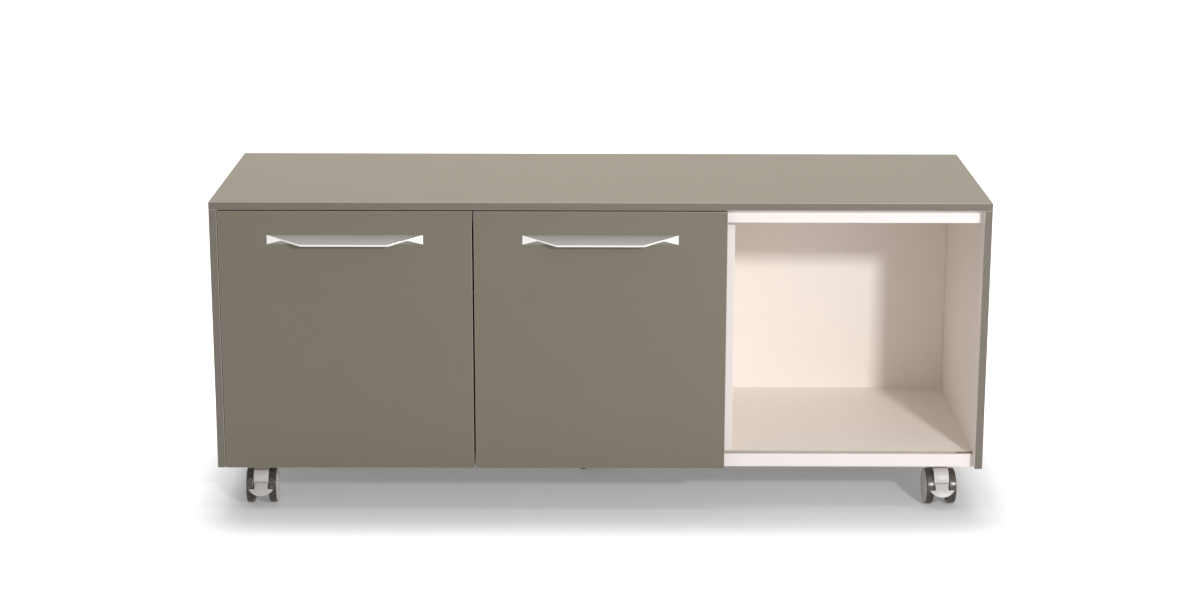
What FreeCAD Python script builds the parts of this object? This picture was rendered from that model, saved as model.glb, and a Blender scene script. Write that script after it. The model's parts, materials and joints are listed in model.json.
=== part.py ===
import FreeCAD, Part
import math
import operator
import os
from collections import namedtuple

import Sketcher
from FreeCAD import Placement, Rotation, Vector

# Office credenza on casters, with two sliding doors and one open bay.
# Millimetres and degrees. +X is to the right, the front faces -Y, +Z is up.
# The origin is on the floor, under the middle of the whole object.

doc = FreeCAD.newDocument("OfficeCredenza")
sheet = doc.addObject("Spreadsheet::Sheet", "Sizes")
sizes = []
nodes = []


class Length:
    """A number that also carries the formula, in the sheet's cells, that gives it."""

    def __init__(self, number, formula):
        self.number = number
        self.formula = formula

    def __add__(self, other):
        return calculate(self, "+", other)

    def __radd__(self, other):
        return calculate(other, "+", self)

    def __sub__(self, other):
        return calculate(self, "-", other)

    def __rsub__(self, other):
        return calculate(other, "-", self)

    def __mul__(self, other):
        return calculate(self, "*", other)

    def __rmul__(self, other):
        return calculate(other, "*", self)

    def __truediv__(self, other):
        return calculate(self, "/", other)

    def __neg__(self):
        return calculate(-1, "*", self)


SIGNS = {"+": operator.add, "-": operator.sub, "*": operator.mul, "/": operator.truediv}


def known(thing):
    return thing if isinstance(thing, Length) else Length(thing, str(thing))


def calculate(left, sign, right):
    left, right = known(left), known(right)
    return Length(SIGNS[sign](left.number, right.number), f"({left.formula} {sign} {right.formula})")


def sine(angle):
    return Length(math.sin(math.radians(angle.number)), f"sin({angle.formula})")


def cosine(angle):
    return Length(math.cos(math.radians(angle.number)), f"cos({angle.formula})")


def root(square):
    return Length(math.sqrt(square.number), f"sqrt({square.formula})")


def size(name, number, meaning):
    """One driving size: a plain number in a cell whose alias is its name."""
    sizes.append(name)
    row = len(sizes)
    sheet.set(f"A{row}", meaning)
    sheet.set(f"B{row}", str(number))
    sheet.setAlias(f"B{row}", name)
    return Length(number, f"Sizes.{name}")


def bind(thing, prop, length):
    thing.setExpression(prop, known(length).formula)


# ---------------------------------------------------------------- driving sizes

width = size("width", 1600, "overall width")
depth = size("depth", 500, "front of the doors to the back of the shell")
body_height = size("body_height", 570, "underside of the sides to the top")
shell_board = size("shell_board", 16, "top and side panel thickness")
bottom_board = size("bottom_board", 27.5, "bottom panel thickness")
bottom_drop = size("bottom_drop", 2.5, "bottom panel below the sides and the doors")
back_board = size("back_board", 8, "back panel thickness")
partition_board = size("partition_board", 16, "partition thickness")
shelf_board = size("shelf_board", 16, "shelf thickness")

door_board = size("door_board", 18, "door thickness")
door_gap = size("door_gap", 3.5, "gap between neighbouring doors")
side_gap = size("side_gap", 1.5, "gap between an outer door and the side panel")
door_top_gap = size("door_top_gap", 2.5, "gap between a door and the top panel")
rail_gap = size("rail_gap", 4, "gap between a door's back and the rails")
partition_offset = size("partition_offset", 2, "partition's left face past the door edge before it")

rail_depth = size("rail_depth", 25, "top rail, front to back")
rail_height = size("rail_height", 30, "top rail height")
track_line = size("track_line", 10, "middle of both tracks behind the rails' front")
track_wall = size("track_wall", 1.5, "wall of both tracks")
channel_width = size("channel_width", 13, "clear width of the bottom track")
channel_depth = size("channel_depth", 8, "depth of the bottom track's groove")
flange_width = size("flange_width", 18.5, "width over the bottom track's flanges")
flange_rise = size("flange_rise", 1, "thickness of the bottom track's flanges")
top_track_width = size("top_track_width", 12, "outer width of the top track")
top_track_height = size("top_track_height", 10, "outer height of the top track")

shelf_setback = size("shelf_setback", 5, "shelf's front behind the partitions' front")
shelf_play = size("shelf_play", 1, "gap beside and behind a shelf")
first_shelf_rise = size("first_shelf_rise", 213.5, "lowest shelf's underside above the bottom panel")
pin_pitch = size("pin_pitch", 32, "distance between the rows of shelf pins")
pin_radius = size("pin_radius", 2.5, "shelf pin radius")
pin_sunk = size("pin_sunk", 8, "part of a shelf pin inside its board")
pin_out = size("pin_out", 8, "part of a shelf pin under its shelf")
pin_inset = size("pin_inset", 45, "shelf pin from the shelf's front or back")

dowel_radius = size("dowel_radius", 4, "dowel radius")
dowel_in_face = size("dowel_in_face", 10, "part of a dowel in a board's face")
dowel_in_edge = size("dowel_in_edge", 20, "part of a dowel in a board's edge")
dowel_inset = size("dowel_inset", 95, "dowel from the front or back of the shell")
hole_play = size("hole_play", 0.05, "radial clearance round a fixed pin or screw")

handle_length = size("handle_length", 320, "handle length on the door")
handle_height = size("handle_height", 19.5, "handle height on the door")
handle_reach = size("handle_reach", 25, "handle's lip in front of the door")
handle_slope = size("handle_slope", 15, "drop of the blade from its root to its lip")
handle_mitre = size("handle_mitre", 70.5, "length of each slanted end")
handle_drop = size("handle_drop", 52.5, "top of the handle below the top panel")
lip_height = size("lip_height", 3.5, "height of the lip's edge")
web_reach = size("web_reach", 11, "reach of the thick root under the blade")
web_drop = size("web_drop", 9.3, "underside of the blade where the root meets it")
handle_screw_pitch = size("handle_screw_pitch", 256, "distance between a handle's screws")
handle_screw_drop = size("handle_screw_drop", 9.2, "handle screws below the handle's top")
handle_screw_radius = size("handle_screw_radius", 2, "handle screw radius")
handle_screw_bite = size("handle_screw_bite", 7, "depth of the handle's threaded hole")
handle_screw_spare = size("handle_screw_spare", 1, "handle screw short of the hole's end")
handle_head_radius = size("handle_head_radius", 4, "handle screw's head radius")
handle_head_height = size("handle_head_height", 2.5, "handle screw's head height")
door_hole_play = size("door_hole_play", 0.2, "radial clearance of a handle screw in the door")

gear_inset = size("gear_inset", 42, "rollers and guides from the door's side edge")
carrier_plate = size("carrier_plate", 2, "roller carrier's plate thickness")
carrier_width = size("carrier_width", 36, "roller carrier width")
carrier_height = size("carrier_height", 42, "roller carrier height")
carrier_overlap = size("carrier_overlap", 3, "roller carrier below the bottom panel's top")
carrier_screw_drop = size("carrier_screw_drop", 14, "screws below the carrier's top")
collar_radius = size("collar_radius", 3.3, "collar and head of the roller's pin")
collar_gap = size("collar_gap", 0.5, "collar above the bottom track's flange")
roller_pin_radius = size("roller_pin_radius", 2.5, "pin a roller turns on")
pin_head_length = size("pin_head_length", 1, "length of the pin's head")
roller_width = size("roller_width", 9.6, "roller width")
roller_play = size("roller_play", 0.3, "roller above the track")
roller_rim = size("roller_rim", 2.75, "roller rim between its edge and the recess")
roller_hub = size("roller_hub", 4.6, "roller hub radius")
roller_recess = size("roller_recess", 2, "depth of the recess in the roller's face")
end_play = size("end_play", 0.4, "play of a roller along its pin, each way")
axle_play = size("axle_play", 0.05, "radial running clearance on a pin")
guide_width = size("guide_width", 30, "top guide width")
guide_height = size("guide_height", 26, "top guide height")
guide_plate = size("guide_plate", 3, "top guide's plate thickness")
guide_arm = size("guide_arm", 4, "top guide's arm thickness")
guide_arm_width = size("guide_arm_width", 16, "top guide's arm width")
guide_below_rail = size("guide_below_rail", 5, "top guide's arm below the top rail")
guide_screw_drop = size("guide_screw_drop", 12.2, "screws below the guide's top")
peg_play = size("peg_play", 0.4, "guide peg from the top track's walls")
peg_top_gap = size("peg_top_gap", 1, "guide peg below the top track's web")
gear_screw_radius = size("gear_screw_radius", 1.75, "small screw radius")
gear_screw_length = size("gear_screw_length", 14, "small screw under its head")
gear_screw_spacing = size("gear_screw_spacing", 16, "distance between the two screws of a fitting")
small_head_radius = size("small_head_radius", 3.2, "small screw's head radius")
small_head_height = size("small_head_height", 2, "small screw's head height")
stop_play = size("stop_play", 0.5, "roller from its stop at the end of travel")
stop_side_play = size("stop_side_play", 0.2, "gap beside a track stop")

back_screw_length = size("back_screw_length", 28, "back screw under its head")
back_screw_inset = size("back_screw_inset", 70, "outermost back screws from the corners")

wheel_radius = size("wheel_radius", 37.5, "caster wheel radius")
wheel_headroom = size("wheel_headroom", 6.1, "hood's top above the wheels")
caster_inset = size("caster_inset", 84, "swivel axis from the shell's side, front or back")
trail = size("trail", 33, "wheel axle behind the swivel axis")
tread_width = size("tread_width", 15.5, "width of one wheel")
tread_depth = size("tread_depth", 2.75, "tread thickness")
tread_flat = size("tread_flat", 0.35, "flat left beside the tread's rounded edge")
hub_radius = size("hub_radius", 9, "wheel hub radius")
rim_wall = size("rim_wall", 3, "wheel rim thickness")
cover_wall = size("cover_wall", 2.5, "wheel side cover thickness")
cover_dish = size("cover_dish", 1.2, "side cover behind the tread's side")
cover_lip = size("cover_lip", 0.4, "rim behind the tread's side")
cap_wall = size("cap_wall", 1.25, "wall that closes the hub at the axle's end")
axle_radius = size("axle_radius", 4, "wheel axle radius")
wheel_play = size("wheel_play", 0.5, "gap between the hood and a wheel")

plate_side = size("plate_side", 60, "caster plate side")
plate_thick = size("plate_thick", 3, "caster plate thickness")
plate_corner = size("plate_corner", 6, "caster plate's corner radius")
plate_hole_pitch = size("plate_hole_pitch", 44, "distance between the plate's holes")
plate_hole_play = size("plate_hole_play", 0.35, "radial clearance of a caster screw in the plate")
race_radius = size("race_radius", 15.4, "swivel race radius")
race_height = size("race_height", 5, "swivel race height")
race_play = size("race_play", 0.4, "gap between the race and the hood")
kingpin_radius = size("kingpin_radius", 5, "kingpin radius")
kingpin_length = size("kingpin_length", 28, "kingpin below the race")
caster_screw_radius = size("caster_screw_radius", 2.25, "caster screw radius")
caster_screw_length = size("caster_screw_length", 15, "caster screw under its head")
caster_head_radius = size("caster_head_radius", 4.2, "caster screw's head radius")
caster_head_height = size("caster_head_height", 2.6, "caster screw's head height")

hood_width = size("hood_width", 31, "hood between the wheels")
hood_setback = size("hood_setback", 5.5, "hood's front face behind the wheels' front")
hood_chin_rise = size("hood_chin_rise", 16.5, "lower edge of the hood's front above the axle")
hood_rear = size("hood_rear", 17, "hood's rear face from the swivel axis")
hood_tail = size("hood_tail", 33, "height of the hood's rear")
hood_lip = size("hood_lip", 0.6, "flat left under the hood's round front")
hood_rear_round = size("hood_rear_round", 8, "rounding of the hood's rear edge")
axle_boss = size("axle_boss", 13, "radius of the hood round the axle")
cheek_radius = size("cheek_radius", 5, "radius of the cheeks that carry the pedal")
cheek_gap = size("cheek_gap", 0.5, "pedal barrel below the hood's front edge")
pedal_play = size("pedal_play", 0.3, "gap between the pedal and each cheek")
pedal_neck = size("pedal_neck", 27.4, "pedal neck width")
barrel_radius = size("barrel_radius", 3.5, "pedal barrel radius")
pedal_pin_radius = size("pedal_pin_radius", 1.5, "pedal pin radius")
pedal_thick = size("pedal_thick", 2.5, "pedal sheet thickness")
pedal_ahead = size("pedal_ahead", 1.3, "pedal's upper edge in front of the hood")
pedal_below = size("pedal_below", 1.4, "pedal's upper edge below the hood's front edge")
pedal_slope = size("pedal_slope", 56, "slope of the pedal's face")
pedal_length = size("pedal_length", 29.5, "length of the pedal's face down its slope")
pedal_foot_start = size("pedal_foot_start", 14, "where the foot widens, down the slope")
pedal_foot_width = size("pedal_foot_width", 52, "foot width")
pedal_bridge = size("pedal_bridge", 7, "web from the barrel meets the face this far down")

front_left_turn = size("front_left_turn", 2, "rest angle of the front left caster")
front_right_turn = size("front_right_turn", 3, "rest angle of the front right caster")
rear_left_turn = size("rear_left_turn", 9, "rest angle of the rear left caster")
rear_right_turn = size("rear_right_turn", -7, "rest angle of the rear right caster")
centre_turn = size("centre_turn", 215, "rest angle of the centre caster")
doc.recompute()

# ---------------------------------------------------------------- places that follow

hood_top = 2 * wheel_radius + wheel_headroom
race_bottom = hood_top + race_play
plate_bottom = race_bottom + race_height
caster_height = plate_bottom + plate_thick

front = (handle_reach - depth) / 2
back = front + depth
inner = width / 2 - shell_board
underside = caster_height + bottom_drop
crown = underside + body_height - shell_board
floor_level = caster_height + bottom_board
door_back = front + door_board
rail_face = door_back + rail_gap
partition_front = rail_face + rail_depth
inner_back = back - back_board
running_line = rail_face + track_line
rail_bottom = crown - rail_height

door_width = (2 * inner - 2 * door_gap - 2 * side_gap) / 3
door_pitch = door_width + door_gap
left_door_start = side_gap - inner
right_door_start = left_door_start + door_pitch
door_top = crown - door_top_gap
left_partition_start = left_door_start + door_width + partition_offset
right_partition_start = left_partition_start + door_pitch

left_shelf_under = floor_level + first_shelf_rise
middle_shelf_under = left_shelf_under + pin_pitch
shelf_front = partition_front + shelf_setback
shelf_back = inner_back - shelf_play

channel_half = channel_width / 2
channel_floor = floor_level - channel_depth + track_wall
flange_top = floor_level + flange_rise
roller_axis = flange_top + collar_gap + collar_radius
roller_radius = roller_axis - roller_play - channel_floor

# ---------------------------------------------------------------- modelling words

Circle = namedtuple("Circle", "x y radius")
PLANES = {"x": "YZ_Plane", "y": "XZ_Plane", "z": "XY_Plane"}
NORMALS = {"x": 1, "y": -1, "z": 1}


def new_body(label, node=True):
    body = doc.addObject("PartDesign::Body", label)
    body.Label = label
    if node:
        nodes.append(body)
    return body


def pin_down(drawing, kind, geometry, vertex, length):
    """Holds one coordinate of a vertex at its formula, from the sketch's origin."""
    made = drawing.addConstraint(Sketcher.Constraint(kind, -1, 1, geometry, vertex, length.number))
    drawing.renameConstraint(made, f"place{made}")
    bind(drawing, f"Constraints.place{made}", length)


def draw_circle(drawing, circle):
    x, y, radius = map(known, circle)
    made = drawing.addGeometry(Part.Circle(Vector(x.number, y.number), Vector(0, 0, 1), radius.number))
    pin_down(drawing, "DistanceX", made, 3, x)
    pin_down(drawing, "DistanceY", made, 3, y)
    held = drawing.addConstraint(Sketcher.Constraint("Radius", made, radius.number))
    drawing.renameConstraint(held, f"radius{held}")
    bind(drawing, f"Constraints.radius{held}", radius)


def draw_polygon(drawing, points):
    points = [(known(x), known(y)) for x, y in points]
    corners = [Vector(x.number, y.number) for x, y in points]
    first, count = len(drawing.Geometry), len(points)
    for i in range(count):
        drawing.addGeometry(Part.LineSegment(corners[i], corners[(i + 1) % count]))
    for i in range(count):
        here, after = first + i, first + (i + 1) % count
        drawing.addConstraint(Sketcher.Constraint("Coincident", here, 2, after, 1))
    for i, (x, y) in enumerate(points):
        pin_down(drawing, "DistanceX", first + i, 1, x)
        pin_down(drawing, "DistanceY", first + i, 1, y)


def rectangle(x0, x1, y0, y1):
    return [(x0, y0), (x1, y0), (x1, y1), (x0, y1)]


def sketch(body, axis, level, outlines):
    """Outlines across an axis at a level: (y, z) across x, (x, z) across y, (x, y) across z."""
    drawing = body.newObject("Sketcher::SketchObject", "Sketch")
    plane = [f for f in body.Origin.OriginFeatures if f.Role == PLANES[axis]][0]
    drawing.AttachmentSupport = [(plane, "")]
    drawing.MapMode = "FlatFace"
    bind(drawing, "AttachmentOffset.Base.z", NORMALS[axis] * level)
    for outline in outlines:
        if isinstance(outline, Circle):
            draw_circle(drawing, outline)
        else:
            draw_polygon(drawing, outline)
    return drawing


def extrude(kind, body, way, level, length, outlines):
    """A Pad or Pocket from a level: way is +x, -x and so on, or x alone for both ways."""
    axis = way[-1]
    drawing = sketch(body, axis, level, outlines)
    made = body.newObject(f"PartDesign::{kind}", kind)
    made.Profile = drawing
    bind(made, "Length", length)
    made.Midplane = way == axis
    along_normal = way == ("+" if NORMALS[axis] > 0 else "-") + axis
    made.Reversed = along_normal == (kind == "Pocket")


def add(body, way, level, length, *outlines):
    extrude("Pad", body, way, level, length, outlines)


def cut(body, way, level, length, *outlines):
    extrude("Pocket", body, way, level, length, outlines)


def drill(body, way, level, length, places, radius):
    cut(body, way, level, length, *[Circle(x, y, radius) for x, y in places])


def panel(label, x0, x1, y0, y1, z0, z1):
    """A flat board between two corners."""
    body = new_body(label)
    add(body, "+z", z0, z1 - z0, rectangle(x0, x1, y0, y1))
    return body


def round_edges(body, radius, wanted):
    """Fillets those edges of the body whose bounding box passes the test."""
    doc.recompute()
    tip = body.Tip
    chosen = [f"Edge{i}" for i, edge in enumerate(tip.Shape.Edges, 1) if wanted(edge.BoundBox)]
    made = body.newObject("PartDesign::Fillet", "Fillet")
    made.Base = (tip, chosen)
    bind(made, "Radius", radius)


def close_to(here, there):
    return abs(here - there.number) < 1e-4


def place(thing, x, y, z, turn=None):
    """Binds a thing's place, and its turn about +Z."""
    for axis, length in zip("xyz", (x, y, z)):
        bind(thing, f"Placement.Base.{axis}", length)
    if turn:
        thing.Placement = Placement(Vector(), Rotation(Vector(0, 0, 1), 1))
        bind(thing, "Placement.Rotation.Angle", turn)


# Rotations that lay a cylinder, made along +Z, down along each way.
LAID = {
    "+z": Rotation(),
    "+x": Rotation(Vector(0, 1, 0), 90),
    "-x": Rotation(Vector(0, 1, 0), -90),
    "+y": Rotation(Vector(1, 0, 0), -90),
    "-y": Rotation(Vector(1, 0, 0), 90),
    "-z": Rotation(Vector(1, 0, 0), 180),
}
OPPOSITE = {"+": "-", "-": "+"}


def rod(way, start, length, radius):
    made = doc.addObject("Part::Cylinder", "Rod")
    bind(made, "Radius", radius)
    bind(made, "Height", length)
    made.Placement = Placement(Vector(), LAID[way])
    place(made, *start)
    return made


def screw(way, seat, length, radius, head_radius, head_height):
    """A pan-head screw driven one way, from the seat under its head."""
    made = doc.addObject("Part::Fuse", "Screw")
    made.Base = rod(way, seat, length, radius)
    made.Tool = rod(OPPOSITE[way[0]] + way[1], seat, head_height, head_radius)
    return made


def group(label, members):
    """One node made of several separate solids."""
    made = doc.addObject("Part::Compound", label)
    made.Label = label
    made.Links = members
    nodes.append(made)
    return made


# ---------------------------------------------------------------- shell

top_panel = panel("top_panel", -width / 2, width / 2, front, back, crown, crown + shell_board)
left_side = panel("left_side_panel", -width / 2, -inner, front, back, underside, crown)
right_side = panel("right_side_panel", inner, width / 2, front, back, underside, crown)
bottom_panel = panel("bottom_panel", -inner, inner, rail_face, inner_back, caster_height, floor_level)
back_panel = panel("back_panel", -inner, inner, inner_back, back, caster_height, crown)
top_rail = panel("top_rail", -inner, inner, rail_face, partition_front, rail_bottom, crown)


def partition(label, start):
    end = start + partition_board
    return panel(label, start, end, partition_front, inner_back, floor_level, crown)


left_partition = partition("left_partition", left_partition_start)
right_partition = partition("right_partition", right_partition_start)

# ---------------------------------------------------------------- tracks

channel_outer = channel_half + track_wall
flange_half = flange_width / 2
groove_floor = floor_level - channel_depth
cut(
    bottom_panel, "x", 0, 2 * width,
    rectangle(running_line - channel_outer, running_line + channel_outer, groove_floor, floor_level),
)
bottom_track = new_body("bottom_track")
add(
    bottom_track, "x", 0, 2 * inner,
    [
        (running_line - flange_half, flange_top),
        (running_line - channel_half, flange_top),
        (running_line - channel_half, channel_floor),
        (running_line + channel_half, channel_floor),
        (running_line + channel_half, flange_top),
        (running_line + flange_half, flange_top),
        (running_line + flange_half, floor_level),
        (running_line + channel_outer, floor_level),
        (running_line + channel_outer, groove_floor),
        (running_line - channel_outer, groove_floor),
        (running_line - channel_outer, floor_level),
        (running_line - flange_half, floor_level),
    ],
)

track_half = top_track_width / 2
slot_half = track_half - track_wall
track_top = rail_bottom + top_track_height
cut(
    top_rail, "x", 0, 2 * width,
    rectangle(running_line - track_half, running_line + track_half, rail_bottom, track_top),
)
top_track = new_body("top_track")
add(
    top_track, "x", 0, 2 * inner,
    [
        (running_line - track_half, rail_bottom),
        (running_line - track_half, track_top),
        (running_line + track_half, track_top),
        (running_line + track_half, rail_bottom),
        (running_line + slot_half, rail_bottom),
        (running_line + slot_half, track_top - track_wall),
        (running_line - slot_half, track_top - track_wall),
        (running_line - slot_half, rail_bottom),
    ],
)

# Rubber blocks lie in the bottom track, and the outermost roller meets one at each end of
# the travel: its edge touches the block's top corner, a little nearer than its full radius.
axis_above_stop = roller_axis - floor_level
contact_reach = root(roller_radius * roller_radius - axis_above_stop * axis_above_stop)
stop_length = gear_inset + side_gap - contact_reach - stop_play


def track_stop(start):
    block = doc.addObject("Part::Box", "Stop")
    bind(block, "Length", stop_length)
    bind(block, "Width", channel_width - 2 * stop_side_play)
    bind(block, "Height", floor_level - channel_floor)
    place(block, start, running_line - channel_half + stop_side_play, channel_floor)
    return block


group("track_stops", [track_stop(-inner), track_stop(inner - stop_length)])

# ---------------------------------------------------------------- shelves and their pins

middle_bay_start = left_partition_start + partition_board
pins = []


def shelf(label, bay_start, bay_end, under):
    top = under + shelf_board
    panel(label, bay_start + shelf_play, bay_end - shelf_play, shelf_front, shelf_back, under, top)


def pin_row(carrier, way, wall, under):
    """Two shelf pins out of a board's face, and the holes they sit in."""
    inward = OPPOSITE[way[0]] + "x"
    pin_end = wall - pin_sunk if way == "+x" else wall + pin_sunk
    places = [(y, under - pin_radius) for y in (shelf_front + pin_inset, shelf_back - pin_inset)]
    drill(carrier, inward, wall, pin_sunk, places, pin_radius + hole_play)
    for y, z in places:
        pins.append(rod(way, (pin_end, y, z), pin_sunk + pin_out, pin_radius))


shelf("left_bay_shelf", -inner, left_partition_start, left_shelf_under)
pin_row(left_side, "+x", -inner, left_shelf_under)
pin_row(left_partition, "-x", left_partition_start, left_shelf_under)
shelf("middle_bay_shelf", middle_bay_start, right_partition_start, middle_shelf_under)
pin_row(left_partition, "+x", middle_bay_start, middle_shelf_under)
pin_row(right_partition, "-x", right_partition_start, middle_shelf_under)
group("shelf_pins", pins)

# ---------------------------------------------------------------- dowels

dowel_hole = dowel_radius + hole_play
dowel_length = dowel_in_face + dowel_in_edge
dowel_rows = [front + dowel_inset, back - dowel_inset]
partitions = [
    (left_partition_start + partition_board / 2, left_partition),
    (right_partition_start + partition_board / 2, right_partition),
]
uprights = [(-inner - shell_board / 2, left_side), *partitions, (inner + shell_board / 2, right_side)]
dowels = []

for x, upright in uprights:
    places = [(x, y) for y in dowel_rows]
    drill(top_panel, "+z", crown, dowel_in_face, places, dowel_hole)
    drill(upright, "-z", crown, dowel_in_edge, places, dowel_hole)
    dowels += [rod("+z", (x, y, crown - dowel_in_edge), dowel_length, dowel_radius) for x, y in places]

for x, upright in partitions:
    places = [(x, y) for y in dowel_rows]
    drill(bottom_panel, "-z", floor_level, dowel_in_face, places, dowel_hole)
    drill(upright, "+z", floor_level, dowel_in_edge, places, dowel_hole)
    dowels += [rod("+z", (x, y, floor_level - dowel_in_face), dowel_length, dowel_radius) for x, y in places]

bottom_middle = caster_height + bottom_board / 2
for side, wall, outward, dowel_end in (
    (left_side, -inner, "-x", -inner - dowel_in_face),
    (right_side, inner, "+x", inner + dowel_in_face),
):
    inward = OPPOSITE[outward[0]] + "x"
    places = [(y, bottom_middle) for y in dowel_rows]
    drill(side, outward, wall, dowel_in_face, places, dowel_hole)
    drill(bottom_panel, inward, wall, dowel_in_edge, places, dowel_hole)
    dowels += [rod(inward, (dowel_end, y, z), dowel_length, dowel_radius) for y, z in places]
group("carcass_dowels", dowels)

# ---------------------------------------------------------------- screws of the back panel

back_seat = back - small_head_height
back_bite = back_screw_length - back_board + small_head_height
screw_hole = gear_screw_radius + hole_play
small_screw = (gear_screw_radius, small_head_radius, small_head_height)
reach = inner - back_screw_inset
bottom_places = [(x, bottom_middle) for x in (-reach, -reach / 3, reach / 3, reach)]
partition_rows = [floor_level + back_screw_inset, (floor_level + crown) / 2, crown - back_screw_inset]
back_places = list(bottom_places)

drill(bottom_panel, "-y", inner_back, back_bite, bottom_places, screw_hole)
for x, upright in partitions:
    places = [(x, z) for z in partition_rows]
    drill(upright, "-y", inner_back, back_bite, places, screw_hole)
    back_places += places
drill(back_panel, "+y", inner_back, back_board, back_places, screw_hole)
drill(back_panel, "-y", back, small_head_height, back_places, small_head_radius + hole_play)
group(
    "back_screws",
    [screw("-y", (x, back_seat, z), back_screw_length, *small_screw) for x, z in back_places],
)

# ---------------------------------------------------------------- doors

handle_top = crown - handle_drop
handle_screw_height = handle_top - handle_screw_drop
handle_end = handle_length / 2
carrier_bottom = floor_level - carrier_overlap
carrier_screw_height = carrier_bottom + carrier_height - carrier_screw_drop
guide_top = rail_bottom - guide_below_rail
guide_screw_height = guide_top - guide_screw_drop
gear_spread = door_width / 2 - gear_inset
roller_front = running_line - roller_width / 2
roller_back = running_line + roller_width / 2
peg_radius = slot_half - peg_play
peg_top = track_top - track_wall - peg_top_gap
gear_columns = [-gear_screw_spacing / 2, gear_screw_spacing / 2]


def bow_handle(label, middle):
    """Extruded bar: a thick root on the door, a thin sloping blade, both ends cut slanting."""
    body = new_body(label)
    lip = front - handle_reach
    add(
        body, "x", 0, handle_length,
        [
            (front, handle_top),
            (lip, handle_top - handle_slope),
            (lip, handle_top - handle_slope - lip_height),
            (front - web_reach, handle_top - web_drop),
            (front, handle_top - handle_height),
        ],
    )
    for side in (-1, 1):
        corner = [
            (side * handle_end, front),
            (side * (handle_end - handle_mitre), lip),
            (side * handle_end, lip),
        ]
        cut(body, "-z", crown, body_height, corner)
    tapped = [(side * handle_screw_pitch / 2, handle_screw_height) for side in (-1, 1)]
    drill(body, "-y", front, handle_screw_bite, tapped, handle_screw_radius + hole_play)
    place(body, middle, 0, 0)


def roller_carrier(middle):
    """Steel plate on the door's back, with the collar, pin and head that a roller turns on."""
    body = new_body("Carrier", node=False)
    half = carrier_width / 2
    plate = rectangle(-half, half, carrier_bottom, carrier_bottom + carrier_height)
    holes = [Circle(x, carrier_screw_height, screw_hole) for x in gear_columns]
    add(body, "+y", door_back, carrier_plate, plate, *holes)
    start = door_back + carrier_plate / 2
    collar_end = roller_front - end_play
    pin_end = roller_back + end_play
    add(body, "+y", start, collar_end - start, Circle(0, roller_axis, collar_radius))
    add(body, "+y", start, pin_end - start, Circle(0, roller_axis, roller_pin_radius))
    add(body, "+y", pin_end, pin_head_length, Circle(0, roller_axis, collar_radius))
    place(body, middle, 0, 0)
    return body


def roller(label, middle):
    """Nylon roller, bored for its pin, with a ring-shaped recess in its rear face."""
    body = new_body(label)
    tyre = Circle(0, roller_axis, roller_radius)
    bore = Circle(0, roller_axis, roller_pin_radius + axle_play)
    add(body, "+y", roller_front, roller_width, tyre, bore)
    recess = Circle(0, roller_axis, roller_radius - roller_rim)
    cut(body, "-y", roller_back, roller_recess, recess, Circle(0, roller_axis, roller_hub))
    place(body, middle, 0, 0)


def top_guide(middle):
    """Moulded nylon: a plate on the door's back, an arm, and a peg up into the top track."""
    body = new_body("Guide", node=False)
    half = guide_width / 2
    plate = rectangle(-half, half, guide_top - guide_height, guide_top)
    holes = [Circle(x, guide_screw_height, screw_hole) for x in gear_columns]
    add(body, "+y", door_back, guide_plate, plate, *holes)
    arm_half = guide_arm_width / 2
    arm_end = running_line + peg_radius
    add(body, "-z", guide_top, guide_arm, rectangle(-arm_half, arm_half, door_back, arm_end))
    peg_start = guide_top - guide_arm / 2
    add(body, "+z", peg_start, peg_top - peg_start, Circle(0, running_line, peg_radius))
    place(body, middle, 0, 0)
    return body


def sliding_door(side, start):
    """One door with everything that travels with it."""
    middle = start + door_width / 2
    door = panel(f"{side}_door_panel", start, start + door_width, front, door_back, underside, door_top)
    bow_handle(f"{side}_door_handle", middle)
    grips = [(middle + way * handle_screw_pitch / 2, handle_screw_height) for way in (-1, 1)]
    drill(door, "+y", front, door_board, grips, handle_screw_radius + door_hole_play)
    grip_length = door_board + handle_screw_bite - handle_screw_spare
    grip_screw = (grip_length, handle_screw_radius, handle_head_radius, handle_head_height)
    group(f"{side}_handle_screws", [screw("-y", (x, door_back, z), *grip_screw) for x, z in grips])

    stations = [middle - gear_spread, middle + gear_spread]
    group(f"{side}_roller_carriers", [roller_carrier(x) for x in stations])
    for number, x in enumerate(stations, 1):
        roller(f"{side}_door_roller_{number}", x)
    group(f"{side}_top_guides", [top_guide(x) for x in stations])
    screws = []
    for height, thickness in ((carrier_screw_height, carrier_plate), (guide_screw_height, guide_plate)):
        places = [(x + column, height) for x in stations for column in gear_columns]
        drill(door, "-y", door_back, gear_screw_length - thickness, places, screw_hole)
        seat = door_back + thickness
        screws += [screw("-y", (x, seat, z), gear_screw_length, *small_screw) for x, z in places]
    group(f"{side}_gear_screws", screws)


sliding_door("left", left_door_start)
sliding_door("right", right_door_start)

# ---------------------------------------------------------------- casters
# Each piece is drawn with the swivel axis at its origin and the wheels towards -Y, then turned.

wheel_start = hood_width / 2 + wheel_play
wheel_end = wheel_start + tread_width
core_radius = wheel_radius - tread_depth
core_bore = axle_radius + axle_play
cover_face = wheel_end - cover_dish
cover_back = cover_face - cover_wall
hood_front = trail + wheel_radius - hood_setback
hood_chin = wheel_radius + hood_chin_rise
pivot_out = hood_front - cheek_radius
pivot_rise = hood_chin - cheek_gap - barrel_radius
pedal_top_out = hood_front + pedal_ahead
pedal_top_rise = hood_chin - pedal_below
plate_corners = [
    (across * plate_hole_pitch / 2, along * plate_hole_pitch / 2)
    for across, along in ((-1, -1), (1, -1), (1, 1), (-1, 1))
]


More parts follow.
